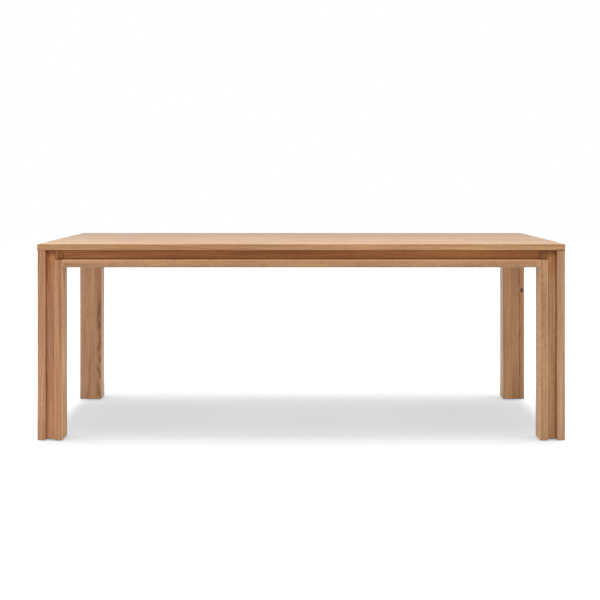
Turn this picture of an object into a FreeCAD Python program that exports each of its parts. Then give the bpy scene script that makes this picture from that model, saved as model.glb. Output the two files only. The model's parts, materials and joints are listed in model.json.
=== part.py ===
import FreeCAD, Part
import math
import os
import Sketcher
from FreeCAD import Placement, Rotation, Vector

# Solid oak dining table, knock-down legs.
# Frame: X along the length, Y front to back with the front at -Y, Z up, origin on the floor at the centre.

# Driving sizes in millimetres
SIZES = {
    # Overall size and the top
    "table_length": 2000.0,
    "table_depth": 1000.0,
    "table_height": 745.0,
    "top_thickness": 23.0,
    "top_overhang": 1.5,
    "top_arris": 1.5,
    "frame_arris": 2.0,
    # Legs, each an outer stile, a set-back core and an inner stile
    "leg_width": 95.0,
    "leg_depth": 95.0,
    "stile_width": 30.0,
    "groove_depth": 22.0,
    # Channel under the top, lower rail below it, apron board behind both
    "recess_height": 36.0,
    "rail_height": 30.0,
    "apron_thickness": 22.0,
    # Cross bearers under the top
    "bearer_width": 60.0,
    "bearer_height": 34.0,
    "bearer_offset": 330.0,
    "tenon_length": 10.0,
    "tenon_shoulder": 7.0,
    "tenon_clearance": 0.2,
    # Bent steel corner plates
    "plate_thickness": 2.5,
    "plate_margin": 7.5,
    "plate_wing": 36.0,
    "plate_gap": 4.0,
    "hook_length": 6.0,
    "hook_clearance": 0.25,
    "plate_bend": 2.0,
    "chamfer_land": 4.0,
    # Hanger bolts with washers and nuts
    "bolt_diameter": 8.0,
    "bolt_embed": 48.0,
    "bolt_spacing": 26.0,
    "bolt_stub": 6.0,
    "washer_diameter": 17.0,
    "washer_thickness": 1.6,
    "nut_width": 13.0,
    "nut_height": 6.5,
    # Wood screws
    "screw_diameter": 4.0,
    "screw_head_diameter": 8.0,
    "screw_head_height": 2.6,
    "screw_cover": 8.0,
    "counterbore_depth": 8.0,
    "hole_clearance": 0.5,
    # Top clips and the kerf that they hook into
    "kerf_drop": 10.0,
    "kerf_depth": 9.0,
    "clip_width": 20.0,
    "clip_thickness": 2.0,
    "clip_clearance": 1.0,
    "clip_standoff": 3.0,
    "clip_flange": 24.0,
    # Nail-in glides
    "glide_diameter": 40.0,
    "glide_height": 3.0,
    "glide_bevel": 1.0,
    "glide_pin_diameter": 5.0,
    "glide_pin_length": 18.0,
}

# Widths of the top's boards, front to back, as shares of the depth, and what is screwed to each board
BOARD_WIDTH_SHARES = (0.116, 0.104, 0.121, 0.098, 0.122, 0.108, 0.119, 0.101, 0.111)
BOARD_FIXINGS = ("none", "bearer", "end clip", "none", "bearer", "none", "end clip", "bearer", "none")
# Places of the long sides' clips, as shares of the apron's length from its middle
LONG_CLIP_SHARES = (-0.36, 0.0, 0.36)
# Cosine of the corner plates' turn, the short side of a right isosceles triangle
DIAGONAL_SHARE = math.sqrt(0.5)
# The bevel round a screw's head, as shares of the head's height and radius
HEAD_BEVEL_HEIGHT_SHARE = 0.5
HEAD_BEVEL_RADIUS_SHARE = 0.25
# The screw's point, as a share of its diameter
SCREW_POINT_SHARE = 1.2
# Nut corners, as a share of the width across its flats
NUT_CORNER_SHARE = 1 / math.sqrt(3)
NUT_SIDES = 6
FULL_TURN = 360
TOLERANCE = 1e-4

UP = Vector(0, 0, 1)
ACROSS = Vector(0, 1, 0)
ALONG = Vector(1, 0, 0)

doc = FreeCAD.newDocument("dining_table")


class Dim:
    """A length with its value and the spreadsheet expression that gives it."""

    def __init__(self, text, value):
        self.text = text
        self.value = value

    def __add__(self, other):
        other = as_dim(other)
        return Dim(f"({self.text} + {other.text})", self.value + other.value)

    def __sub__(self, other):
        other = as_dim(other)
        return Dim(f"({self.text} - {other.text})", self.value - other.value)

    def __mul__(self, factor):
        return Dim(f"({self.text} * ({factor!r}))", self.value * factor)

    def __truediv__(self, divisor):
        return Dim(f"({self.text} / {divisor!r})", self.value / divisor)

    def __neg__(self):
        return self * -1


def as_dim(term):
    return term if isinstance(term, Dim) else Dim(repr(term), term)


def make_sheet():
    """Fill the spreadsheet and return every driving size by name."""
    sheet = doc.addObject("Spreadsheet::Sheet", "Sizes")
    dims = {}
    for row, (alias, value) in enumerate(SIZES.items(), start=1):
        sheet.set(f"A{row}", alias)
        sheet.set(f"B{row}", str(value))
        sheet.setAlias(f"B{row}", alias)
        dims[alias] = Dim(f"Sizes.{alias}", value)
    doc.recompute()
    return dims


def bind(item, prop, dim):
    item.setExpression(prop, as_dim(dim).text)


def place(item, x, y, z, rotation=None):
    """Set the item's turn and tie its position to the sizes."""
    x, y, z = as_dim(x), as_dim(y), as_dim(z)
    item.Placement = Placement(Vector(x.value, y.value, z.value), rotation or Rotation())
    bind(item, "Placement.Base.x", x)
    bind(item, "Placement.Base.y", y)
    bind(item, "Placement.Base.z", z)


def new_body(name):
    body = doc.addObject("PartDesign::Body", name)
    body.Label = name
    return body


def pin(sketch, line, kind, axis, dim):
    """Hold the start of a line at a distance from the sketch's origin."""
    if dim.value == 0:
        sketch.addConstraint(Sketcher.Constraint("PointOnObject", line, 1, axis))
        return
    index = sketch.addConstraint(Sketcher.Constraint(kind, -1, 1, line, 1, dim.value))
    sketch.setExpression(f"Constraints[{index}]", dim.text)


def new_sketch(body, role, corners, lift=0):
    """Close straight lines through the corners on one of the body's origin planes."""
    sketch = body.newObject("Sketcher::SketchObject", f"{body.Name}_sketch")
    plane = next(item for item in body.Origin.OriginFeatures if item.Role == role)
    sketch.AttachmentSupport = [(plane, "")]
    sketch.MapMode = "FlatFace"
    bind(sketch, "AttachmentOffset.Base.z", lift)
    corners = [(as_dim(x), as_dim(y)) for x, y in corners]
    points = [Vector(x.value, y.value, 0) for x, y in corners]
    for start, end in zip(points, points[1:] + points[:1]):
        sketch.addGeometry(Part.LineSegment(start, end), False)
    for line, (x, y) in enumerate(corners):
        previous = (line - 1) % len(corners)
        sketch.addConstraint(Sketcher.Constraint("Coincident", previous, 2, line, 1))
        pin(sketch, line, "DistanceX", -2, x)
        pin(sketch, line, "DistanceY", -1, y)
    return sketch


def add_pad(body, role, corners, length, symmetric=False):
    pad = body.newObject("PartDesign::Pad", f"{body.Name}_pad")
    pad.Profile = new_sketch(body, role, corners)
    bind(pad, "Length", length)
    if symmetric:
        pad.SideType = "Symmetric"
    doc.recompute()
    return pad


def add_revolution(body, corners):
    """Turn a half profile, radius first and height second, about the body's upright axis."""
    turned = body.newObject("PartDesign::Revolution", f"{body.Name}_turned")
    sketch = new_sketch(body, "XZ_Plane", corners)
    turned.Profile = sketch
    turned.ReferenceAxis = (sketch, ["V_Axis"])
    turned.Angle = FULL_TURN
    doc.recompute()
    return turned


def cut_box(body, low, high):
    """Take a box between two corners out of the body."""
    box = body.newObject("PartDesign::SubtractiveBox", f"{body.Name}_box_cut")
    for prop, start, end in zip(("Length", "Width", "Height"), low, high):
        bind(box, prop, as_dim(end) - start)
    place(box, *low)
    doc.recompute()


def cut_bore(body, start, rotation, diameter, depth):
    """Drill a round hole from a point, along the turned Z axis."""
    bore = body.newObject("PartDesign::SubtractiveCylinder", f"{body.Name}_bore")
    bind(bore, "Radius", diameter / 2)
    bind(bore, "Height", depth)
    place(bore, *start, rotation)
    doc.recompute()


def lies_in(edge, side, box):
    """Tell whether an edge lies in one side of the box."""
    own = edge.BoundBox
    spans = {
        "left": (own.XMin, own.XMax, box.XMin),
        "right": (own.XMin, own.XMax, box.XMax),
        "front": (own.YMin, own.YMax, box.YMin),
        "rear": (own.YMin, own.YMax, box.YMax),
        "bottom": (own.ZMin, own.ZMax, box.ZMin),
        "top": (own.ZMin, own.ZMax, box.ZMax),
    }
    low, high, wanted = spans[side]
    return max(abs(low - wanted), abs(high - wanted)) < TOLERANCE


def round_edges(body, radius, arrises, box=None):
    """Round the edges named by the two sides of a box that they join, such as 'front left'."""
    base = body.Tip
    box = box or base.Shape.BoundBox
    names = []
    for number, edge in enumerate(base.Shape.Edges, start=1):
        if any(all(lies_in(edge, side, box) for side in pair.split()) for pair in arrises):
            names.append(f"Edge{number}")
    fillet = body.newObject("PartDesign::Fillet", f"{body.Name}_round")
    fillet.Base = (base, names)
    bind(fillet, "Radius", radius)
    doc.recompute()


def group(name, items):
    bundle = doc.addObject("Part::Compound", name)
    bundle.Label = name
    bundle.Links = items
    return bundle


def copy_of(master, x, y, z, rotation):
    link = doc.addObject("App::Link", f"{master.Name}_copy")
    link.LinkedObject = master
    place(link, x, y, z, rotation)
    return link


def drilled(name, blank, fasteners):
    """The blank with a close hole for every fastener that enters it."""
    cut = doc.addObject("Part::Cut", name)
    cut.Label = name
    cut.Base = blank
    cut.Tool = fasteners
    return cut


# Sizes that follow from the driving ones
dims = make_sheet()
table_length = dims["table_length"]
table_depth = dims["table_depth"]
top_arris = dims["top_arris"]
frame_arris = dims["frame_arris"]
leg_width = dims["leg_width"]
leg_depth = dims["leg_depth"]
stile_width = dims["stile_width"]
groove_depth = dims["groove_depth"]
recess_height = dims["recess_height"]
rail_height = dims["rail_height"]
apron_thickness = dims["apron_thickness"]
plate_thickness = dims["plate_thickness"]
screw_diameter = dims["screw_diameter"]
glide_height = dims["glide_height"]

underside = dims["table_height"] - dims["top_thickness"]
leg_height = underside - glide_height
apron_height = recess_height + rail_height
apron_bottom = underside - apron_height
frame_x = table_length / 2 - dims["top_overhang"]
frame_y = table_depth / 2 - dims["top_overhang"]
apron_back = groove_depth + apron_thickness
core_width = leg_width - stile_width * 2
core_depth = leg_depth - groove_depth
hole_diameter = screw_diameter + dims["hole_clearance"] * 2
top_embed = dims["top_thickness"] - dims["screw_cover"]
clip_screw_inset = dims["clip_standoff"] + (dims["clip_thickness"] + dims["clip_flange"]) / 2
plate_height = apron_height - dims["plate_margin"] * 2
plate_middle = underside - apron_height / 2
fixing_heights = (plate_middle - dims["bolt_spacing"] / 2, plate_middle + dims["bolt_spacing"] / 2)

# The apron inner faces cross behind each leg, and the leg's inner corner stands out from there
reach_x = leg_width - apron_back
reach_y = leg_depth - apron_back
leg_chamfer = stile_width - dims["chamfer_land"]
chamfer_distance = (reach_x + reach_y - leg_chamfer) * DIAGONAL_SHARE
web_distance = chamfer_distance + dims["plate_gap"]
wing_start = web_distance / DIAGONAL_SHARE
bolt_offset = (reach_y - reach_x) * DIAGONAL_SHARE

# Sides of the frame, a quarter turn apart: name, half its apron's length, distance from the centre
SIDES = (
    ("front", frame_x - leg_width, frame_y),
    ("right", frame_y - leg_depth, frame_x),
    ("rear", frame_x - leg_width, frame_y),
    ("left", frame_y - leg_depth, frame_x),
)
CORNERS = ("front_left", "front_right", "rear_right", "rear_left")
QUARTER = 90


def corner_signs(corner):
    """The sides of the centre, in X and Y, that a corner lies on."""
    return (-1 if corner.endswith("left") else 1), (-1 if corner.startswith("front") else 1)


def side_point(quarters, distance, along, inward):
    """A point given along a side from its middle and inward from its outer face."""
    cosine = (1, 0, -1, 0)[quarters]
    sine = (0, 1, 0, -1)[quarters]
    out = distance - inward
    return as_dim(along) * cosine + out * sine, as_dim(along) * sine - out * cosine


def corner_point(sign_x, sign_y, out, sideways):
    """A point given along the corner's diagonal towards the centre, and sideways to the left of it."""
    base_x = (frame_x - apron_back) * sign_x
    base_y = (frame_y - apron_back) * sign_y
    step_x = (as_dim(out) * -sign_x + as_dim(sideways) * sign_y) * DIAGONAL_SHARE
    step_y = (as_dim(out) * -sign_y - as_dim(sideways) * sign_x) * DIAGONAL_SHARE
    return base_x + step_x, base_y + step_y


def corner_turn(sign_x, sign_y):
    return Rotation(UP, math.degrees(math.atan2(-sign_y, -sign_x)))


# Fasteners, one master each

def make_screw(name, length):
    """A pan-head wood screw that points down, with the underside of its head at the origin."""
    head_height = dims["screw_head_height"]
    head_radius = dims["screw_head_diameter"] / 2
    radius = screw_diameter / 2
    body = new_body(name)
    point_top = screw_diameter * SCREW_POINT_SHARE - length
    add_revolution(body, [
        (0, -length),
        (radius, point_top),
        (radius, 0),
        (head_radius, 0),
        (head_radius, head_height * (1 - HEAD_BEVEL_HEIGHT_SHARE)),
        (head_radius * (1 - HEAD_BEVEL_RADIUS_SHARE), head_height),
        (0, head_height),
    ])
    return body


def make_hanger_bolt():
    """A hanger bolt along Z: a pointed end in the leg and a threaded stub out to the nut."""
    radius = dims["bolt_diameter"] / 2
    embed = dims["bolt_embed"]
    stack = dims["plate_gap"] + plate_thickness + dims["washer_thickness"] + dims["nut_height"]
    stub = stack + dims["bolt_stub"]
    body = new_body("hanger_bolt")
    add_revolution(body, [
        (0, -embed),
        (radius, dims["bolt_diameter"] - embed),
        (radius, stub),
        (0, stub),
    ])
    return body


def make_washer():
    disc = doc.addObject("Part::Cylinder", "washer_disc")
    bind(disc, "Radius", dims["washer_diameter"] / 2)
    bind(disc, "Height", dims["washer_thickness"])
    bore = doc.addObject("Part::Cylinder", "washer_bore")
    bind(bore, "Radius", dims["bolt_diameter"] / 2 + dims["hole_clearance"] / 2)
    bind(bore, "Height", dims["washer_thickness"])
    return drilled("washer", disc, bore)


def make_nut():
    hexagon = doc.addObject("Part::Prism", "nut_hexagon")
    hexagon.Polygon = NUT_SIDES
    bind(hexagon, "Circumradius", dims["nut_width"] * NUT_CORNER_SHARE)
    bind(hexagon, "Height", dims["nut_height"])
    bore = doc.addObject("Part::Cylinder", "nut_bore")
    bind(bore, "Radius", dims["bolt_diameter"] / 2)
    bind(bore, "Height", dims["nut_height"])
    return drilled("nut", hexagon, bore)


def make_clip():
    """A Z-shaped clip: its tongue in the apron kerf at -Y, its flange up against the top at +Y."""
    thick = dims["clip_thickness"]
    tongue_top = -dims["kerf_drop"]
    tongue_end = dims["clip_clearance"] - dims["kerf_depth"]
    standoff = dims["clip_standoff"]
    flange_end = standoff + dims["clip_flange"]
    body = new_body("clip")
    add_pad(body, "YZ_Plane", [
        (tongue_end, tongue_top - thick),
        (standoff + thick, tongue_top - thick),
        (standoff + thick, -thick),
        (flange_end, -thick),
        (flange_end, 0),
        (standoff, 0),
        (standoff, tongue_top),
        (tongue_end, tongue_top),
    ], dims["clip_width"], symmetric=True)
    cut_bore(body, (0, clip_screw_inset, -thick * 2), Rotation(), hole_diameter, thick * 2)
    return body


def make_glide():
    """A nail-in nylon glide: a bevelled disc on the floor and a pin up into the leg."""
    radius = dims["glide_diameter"] / 2
    pin_radius = dims["glide_pin_diameter"] / 2
    pin_top = glide_height + dims["glide_pin_length"]
    body = new_body("glide")
    add_revolution(body, [
        (0, 0),
        (radius - dims["glide_bevel"], 0),
        (radius, dims["glide_bevel"]),
        (radius, glide_height),
        (pin_radius, glide_height),
        (pin_radius, pin_top - pin_radius),
        (0, pin_top),
    ])
    return body


# Fastener groups, each a set of copies where they sit

def board_places():
    """The front edge and the width of each board of the top."""
    places = []
    front = -table_depth / 2
    for share in BOARD_WIDTH_SHARES:
        width = table_depth * share
        places.append((front, width))
        front = front + width
    return places


def board_middles(wanted):
    """The middle of each board that has the wanted fixing."""
    boards = zip(board_places(), BOARD_FIXINGS)
    return [front + width / 2 for (front, width), fixing in boards if fixing == wanted]


def long_clip_places(half_length):
    return [half_length * (share * 2) for share in LONG_CLIP_SHARES]


def end_clip_places(quarters):
    cosine = (0, 1, 0, -1)[quarters]
    return [middle * cosine for middle in board_middles("end clip")]


def make_clips():
    """Clips along all four aprons, and the screws that hold them to the top."""
    clip = make_clip()
    screw = make_screw("clip_screw", top_embed + dims["clip_thickness"])
    upside_down = Rotation(ALONG, QUARTER * 2)
    seat = underside - dims["clip_thickness"]
    clips = []
    screws = []
    for quarters, (name, half_length, distance) in enumerate(SIDES):
        long_side = quarters % 2 == 0
        places = long_clip_places(half_length) if long_side else end_clip_places(quarters)
        turn = Rotation(UP, QUARTER * quarters)
        for along in places:
            x, y = side_point(quarters, distance, along, apron_back)
            clips.append(copy_of(clip, x, y, underside, turn))
            x, y = side_point(quarters, distance, along, apron_back + clip_screw_inset)
            screws.append(copy_of(screw, x, y, seat, upside_down))
    return group("top_clips", clips), group("top_clip_screws", screws)


def make_bearer_screws():
    """Screws up through the bearers' counterbores into the top."""
    bearer_grip = dims["bearer_height"] - dims["counterbore_depth"]
    screw = make_screw("bearer_screw", bearer_grip + top_embed)
    upside_down = Rotation(ALONG, QUARTER * 2)
    screws = []
    for side in (-1, 1):
        x = dims["bearer_offset"] * side
        for y in board_middles("bearer"):
            screws.append(copy_of(screw, x, y, underside - bearer_grip, upside_down))
    return group("bearer_screws", screws)


def make_plate_screws():
    """Two screws through each wing of the corner plates into the aprons."""
    screw = make_screw("plate_screw", apron_thickness - dims["screw_cover"] + plate_thickness)
    screws = []
    for quarters, (name, half_length, distance) in enumerate(SIDES):
        reach = reach_x if quarters % 2 == 0 else reach_y
        wing_middle = half_length + reach - wing_start - dims["plate_wing"] / 2
        # Head towards the room under the top, point out through the wing
        turn = Rotation(UP, QUARTER * quarters) * Rotation(ALONG, -QUARTER)
        for end in (-1, 1):
            x, y = side_point(quarters, distance, wing_middle * end, apron_back + plate_thickness)
            screws += [copy_of(screw, x, y, height, turn) for height in fixing_heights]
    return group("corner_plate_screws", screws)


def make_bolt_sets():
    """Two hanger bolts with washer and nut behind each leg."""
    masters = {
        "hanger_bolts": (make_hanger_bolt(), chamfer_distance),
        "hanger_washers": (make_washer(), web_distance + plate_thickness),
        "hanger_nuts": (make_nut(), web_distance + plate_thickness + dims["washer_thickness"]),
    }
    groups = []
    for name, (master, out) in masters.items():
        copies = []
        for corner in CORNERS:
            sign_x, sign_y = corner_signs(corner)
            turn = corner_turn(sign_x, sign_y) * Rotation(ACROSS, QUARTER)
            x, y = corner_point(sign_x, sign_y, out, bolt_offset * (sign_x * sign_y))
            copies += [copy_of(master, x, y, height, turn) for height in fixing_heights]
        groups.append(group(name, copies))
    return groups


def make_glides():
    glide = make_glide()
    glides = []
    for corner in CORNERS:
        sign_x, sign_y = corner_signs(corner)
        x = (frame_x - leg_width / 2) * sign_x
        y = (frame_y - groove_depth - core_depth / 2) * sign_y
        glides.append(copy_of(glide, x, y, 0, Rotation()))
    return group("leg_glides", glides)


# Top

def make_top_boards(fasteners):
    """Boards glued edge to edge, eased only where an edge shows."""
    last = len(BOARD_WIDTH_SHARES)
    boards = []
    for number, (front, width) in enumerate(board_places(), start=1):
        blank = new_body(f"top_board_{number}_blank")
        add_pad(blank, "YZ_Plane", [
            (0, 0),
            (width, 0),
            (width, dims["top_thickness"]),
            (0, dims["top_thickness"]),
        ], table_length, symmetric=True)
        arrises = ["left top", "left bottom", "right top", "right bottom"]
        if number == 1:
            arrises += ["front top", "front bottom", "front left", "front right"]
        if number == last:
            arrises += ["rear top", "rear bottom", "rear left", "rear right"]
        round_edges(blank, top_arris, arrises)
        place(blank, 0, front, underside)
        boards.append(drilled(f"top_board_{number}", blank, fasteners))
    return boards


# Legs

def make_outer_stile(name, outer, inner):
    body = new_body(f"{name}_blank")
    add_pad(body, "XY_Plane", [
        (0, 0),
        (stile_width, 0),
        (stile_width, leg_depth),
        (0, leg_depth),
    ], leg_height)
    round_edges(body, frame_arris, [
        f"front {outer}", f"front {inner}", f"rear {outer}",
        "front bottom", f"{outer} bottom", "rear bottom",
    ])
    return body


def make_inner_stile(name, outer, inner):
    """The stile under the channel: notched at the top of its face, chamfered behind for the corner plate."""
    body = new_body(f"{name}_blank")
    face_height = leg_height - recess_height
    add_pad(body, "YZ_Plane", [
        (0, 0),
        (leg_depth, 0),
        (leg_depth, leg_height),
        (groove_depth, leg_height),
        (groove_depth, face_height),
        (0, face_height),
    ], stile_width)
    full = body.Shape.BoundBox
    face = FreeCAD.BoundBox(full.XMin, 0, 0, full.XMax, full.YMax, face_height.value)
    round_edges(body, frame_arris, [
        f"front {inner}", f"front {outer}", "front top", f"rear {inner}",
        "front bottom", f"{inner} bottom", "rear bottom",
    ], face)
    # The set-back face meets the apron in a small V, as the front face meets the lower rail
    setback = FreeCAD.BoundBox(full.XMin, groove_depth.value, 0, full.XMax, full.YMax, full.ZMax)
    round_edges(body, frame_arris, [f"front {inner}"], setback)
    if inner == "right":
        corner, back = stile_width, stile_width - leg_chamfer
    else:
        corner, back = 0, leg_chamfer
    pocket = body.newObject("PartDesign::Pocket", f"{body.Name}_chamfer")
    pocket.Profile = new_sketch(body, "XY_Plane", [
        (corner, leg_depth),
        (back, leg_depth),
        (corner, leg_depth - leg_chamfer),
    ], leg_height)
    bind(pocket, "Length", apron_height)
    doc.recompute()
    return body


def make_core(name):
    body = new_body(f"{name}_blank")
    add_pad(body, "XY_Plane", [
        (0, 0),
        (core_width, 0),
        (core_width, core_depth),
        (0, core_depth),
    ], leg_height)
    round_edges(body, frame_arris, ["front bottom", "rear bottom"])
    return body


def make_legs(fasteners):
    """Three upright laminations per leg; the rear legs are the front ones turned half round."""
    pieces = []
    for corner in CORNERS:
        sign_x, sign_y = corner_signs(corner)
        turn = Rotation(UP, QUARTER * (1 + sign_y))
        # Seen from outside, the outer stile stands on the left at two opposite corners
        outer_left = sign_x == sign_y
        outer, inner = ("left", "right") if outer_left else ("right", "left")
        outer_name = f"leg_{corner}_outer_stile"
        core_name = f"leg_{corner}_core"
        inner_name = f"leg_{corner}_inner_stile"
        # Each lamination: name, blank, distances of its two sides from the leg's outer face, setback
        laminations = (
            (outer_name, make_outer_stile(outer_name, outer, inner), 0, stile_width, 0),
            (core_name, make_core(core_name), stile_width, stile_width + core_width, groove_depth),
            (inner_name, make_inner_stile(inner_name, outer, inner), leg_width - stile_width, leg_width, 0),
        )
        for name, blank, near, far, setback in laminations:
            inset = as_dim(near if outer_left else far)
            place(blank, (frame_x - inset) * sign_x, (frame_y - setback) * sign_y, glide_height, turn)
            pieces.append(drilled(name, blank, fasteners))
    return pieces


# Aprons, lower rails and bearers

def make_apron(name, quarters, half_length, distance, screws):
    """A board with a clip kerf along its inner face, hook kerfs near its ends and mortises for bearers."""
    blank = new_body(f"{name}_apron_blank")
    kerf_top = apron_height - dims["kerf_drop"]
    kerf_bottom = kerf_top - dims["clip_thickness"] - dims["clip_clearance"]
    kerf_floor = apron_thickness - dims["kerf_depth"]
    add_pad(blank, "YZ_Plane", [
        (0, 0),
        (apron_thickness, 0),
        (apron_thickness, kerf_bottom),
        (kerf_floor, kerf_bottom),
        (kerf_floor, kerf_top),
        (apron_thickness, kerf_top),
        (apron_thickness, apron_height),
        (0, apron_height),
    ], half_length * 2, symmetric=True)
    round_edges(blank, frame_arris, ["rear bottom", "front left", "front right"])
    reach = reach_x if quarters % 2 == 0 else reach_y
    slack = dims["hook_clearance"]
    wing_end = half_length + reach - wing_start - dims["plate_wing"]
    hook_floor = apron_thickness - dims["hook_length"] - slack
    for hook_start in (wing_end, -wing_end - plate_thickness):
        low = hook_start - slack
        high = hook_start + plate_thickness + slack
        cut_box(blank, (low, hook_floor, 0), (high, apron_thickness, apron_height))
    if quarters % 2 == 0:
        room = dims["tenon_clearance"]
        half_width = dims["bearer_width"] / 2 - dims["tenon_shoulder"] + room
        low_z = apron_height - dims["bearer_height"] + dims["tenon_shoulder"] - room
        high_z = apron_height - dims["tenon_shoulder"] + room
        mortise_floor = apron_thickness - dims["tenon_length"] - room
        for end in (-1, 1):
            middle = dims["bearer_offset"] * end
            low = (middle - half_width, mortise_floor, low_z)
            cut_box(blank, low, (middle + half_width, apron_thickness, high_z))
    x, y = side_point(quarters, distance, 0, groove_depth)
    place(blank, x, y, apron_bottom, Rotation(UP, QUARTER * quarters))
    return drilled(f"{name}_apron", blank, screws)


def make_lower_rail(name, quarters, half_length, distance):
    """A strip on the foot of the apron, flush with the leg faces, that closes the channel below."""
    body = new_body(f"{name}_lower_rail")
    add_pad(body, "YZ_Plane", [
        (0, 0),
        (groove_depth, 0),
        (groove_depth, rail_height),
        (0, rail_height),
    ], half_length * 2, symmetric=True)
    round_edges(body, frame_arris, ["front top", "front bottom", "front left", "front right"])
    x, y = side_point(quarters, distance, 0, 0)
    place(body, x, y, apron_bottom, Rotation(UP, QUARTER * quarters))
    return body


def make_bearer(name, side):
    """A bearer with a stub tenon at each end and a counterbored hole under each screwed board."""
    body = new_body(name)
    width = dims["bearer_width"]
    height = dims["bearer_height"]
    shoulder = dims["tenon_shoulder"]
    span = (frame_y - apron_back) * 2
    tenon = dims["tenon_length"]
    add_pad(body, "XZ_Plane", [
        (-width / 2, 0),
        (width / 2, 0),
        (width / 2, height),
        (-width / 2, height),
    ], span, symmetric=True)
    round_edges(body, frame_arris, ["left bottom", "right bottom"])
    for end in (-1, 1):
        stub = body.newObject("PartDesign::AdditiveBox", f"{name}_tenon")
        bind(stub, "Length", width - shoulder * 2)
        bind(stub, "Width", tenon)
        bind(stub, "Height", height - shoulder * 2)
        near = span / 2 if end > 0 else -span / 2 - tenon
        place(stub, shoulder - width / 2, near, shoulder)
        doc.recompute()
    bore_diameter = dims["screw_head_diameter"] + dims["hole_clearance"] * 2
    for y in board_middles("bearer"):
        cut_bore(body, (0, y, 0), Rotation(), hole_diameter, height)
        cut_bore(body, (0, y, 0), Rotation(), bore_diameter, dims["counterbore_depth"])
    place(body, dims["bearer_offset"] * side, 0, underside - height)
    return body


# Corner plates

def round_bends(body, radius, bends):
    """Round the upright edges at the given points of a bent plate's outline."""
    base = body.Tip
    names = []
    for number, edge in enumerate(base.Shape.Edges, start=1):
        box = edge.BoundBox
        upright = box.ZLength > TOLERANCE
        near = any(math.hypot(box.XMin - x.value, box.YMin - y.value) < TOLERANCE for x, y in bends)
        if upright and near:
            names.append(f"Edge{number}")
    fillet = body.newObject("PartDesign::Fillet", f"{body.Name}_bend")
    fillet.Base = (base, names)
    bind(fillet, "Radius", radius)
    doc.recompute()


def make_corner_plate(corner):
    """A bent plate: a web across the corner, a wing on each apron and a hook at the end of each wing."""
    sign_x, sign_y = corner_signs(corner)
    thick = plate_thickness
    wing_step = dims["plate_wing"] * DIAGONAL_SHARE
    thick_step = thick * DIAGONAL_SHARE
    hook_step = dims["hook_length"] * DIAGONAL_SHARE
    hook_near = web_distance + wing_step - thick_step
    wing_end = web_distance + wing_step
    # Half outline with X along the corner's diagonal: web, wing end, hook, and back along the apron
    half = [
        (web_distance + thick, web_distance + thick - thick_step * 2),
        (wing_end + thick_step, wing_end - thick_step),
        (wing_end - hook_step, wing_end + hook_step),
        (hook_near - hook_step, hook_near + hook_step),
        (hook_near, hook_near),
        (web_distance, web_distance),
    ]
    mirrored = [(x, -y) for x, y in reversed(half)]
    body = new_body(f"corner_plate_{corner}")
    add_pad(body, "XY_Plane", half + mirrored, plate_height)
    round_bends(body, dims["plate_bend"], (half[0], mirrored[-1]))
    round_bends(body, dims["plate_bend"] + thick, (half[-1], mirrored[0]))
    round_bends(body, thick, (half[1], mirrored[-2]))

    sideways = bolt_offset * (sign_x * sign_y)
    bolt_hole = dims["bolt_diameter"] + dims["hole_clearance"] * 2
    lying = Rotation(ACROSS, QUARTER)
    wing_middle = web_distance + wing_step / 2
    for end in (-1, 1):
        height = plate_height / 2 + dims["bolt_spacing"] / 2 * end
        cut_bore(body, (web_distance - thick, sideways, height), lying, bolt_hole, thick * 3)
        for wing in (-1, 1):
            start = (wing_middle + thick_step * 2, (wing_middle - thick_step * 2) * wing, height)
            through_wing = Rotation(UP, (QUARTER + QUARTER / 2) * wing) * lying
            cut_bore(body, start, through_wing, hole_diameter, thick * 3)
    x, y = corner_point(sign_x, sign_y, 0, 0)
    place(body, x, y, plate_middle - plate_height / 2, corner_turn(sign_x, sign_y))
    return body


# The whole table

def make_table():
    clips, clip_screws = make_clips()
    bearer_screws = make_bearer_screws()
    plate_screws = make_plate_screws()
    bolts, washers, nuts = make_bolt_sets()
    glides = make_glides()
    pieces = [clips, clip_screws, bearer_screws, plate_screws, bolts, washers, nuts, glides]
    pieces += make_top_boards(group("top_fixings", [clip_screws, bearer_screws]))
    pieces += make_legs(group("leg_fixings", [bolts, glides]))
    for quarters, (name, half_length, distance) in enumerate(SIDES):
        pieces.append(make_apron(name, quarters, half_length, distance, plate_screws))
        pieces.append(make_lower_rail(name, quarters, half_length, distance))
    pieces += [make_bearer("bearer_left", -1), make_bearer("bearer_right", 1)]
    pieces += [make_corner_plate(corner) for corner in CORNERS]
    doc.recompute()
    return pieces


def write(pieces):
    """Refuse a failed or broken shape, then write each piece to its own file."""
    failed = [item.Label for item in doc.Objects if {"Invalid", "Error"} & set(item.State)]
    broken = [piece.Label for piece in pieces if piece.Shape.isNull() or not piece.Shape.isValid()]
    if failed or broken:
        raise RuntimeError(f"failed: {failed}, broken: {broken}")
    os.makedirs("parts", exist_ok=True)
    for piece in pieces:
        piece.Shape.exportStep(f"parts/{piece.Label}.step")
    print(f"{len(pieces)} pieces written")


write(make_table())
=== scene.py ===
import json
import math
import random
from collections import namedtuple

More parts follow.
